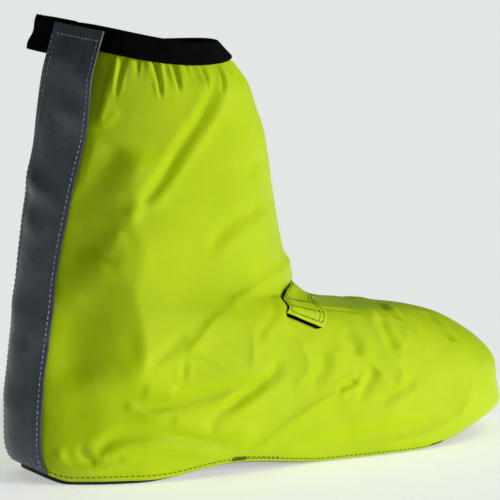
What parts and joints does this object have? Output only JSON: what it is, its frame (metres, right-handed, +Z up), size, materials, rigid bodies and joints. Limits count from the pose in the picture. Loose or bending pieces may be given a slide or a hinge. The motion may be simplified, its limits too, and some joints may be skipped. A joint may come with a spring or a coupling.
{
  "type": "cycling overshoe",
  "caption": "Waterproof ankle-high cycling overshoe that goes on over a shoe, with a rear closure strip, elastic cuff, instep strap and a cleat opening in its sole.",
  "frame": {"origin": "middle of the whole overshoe's bounding box, on the floor that the sole stands on", "axes": "+X from heel to toe, +Y to the inner (medial) side of the foot, +Z up from the sole to the collar"},
  "size_m": [0.299, 0.1034, 0.2346],
  "materials": {
    "coated_fabric": "high-visibility yellow-green woven fabric with a smooth semi-matte waterproof coating",
    "sole_panel": "matte black rubberised fabric with a fine grip texture",
    "elastic_webbing": "black ribbed elastic webbing",
    "reflective_fabric": "dark blue-grey retro-reflective coated fabric, satin",
    "hook_tape": "black woven hook-and-loop tape"
  },
  "bodies": {
    "root": {"upper": "coated_fabric", "sole": "sole_panel", "cuff_band": "elastic_webbing", "closure_strip": "reflective_fabric", "closure_tab": "hook_tape", "instep_strap": "coated_fabric", "strap_hook_tape": "hook_tape"}
  },
  "joints": []
}
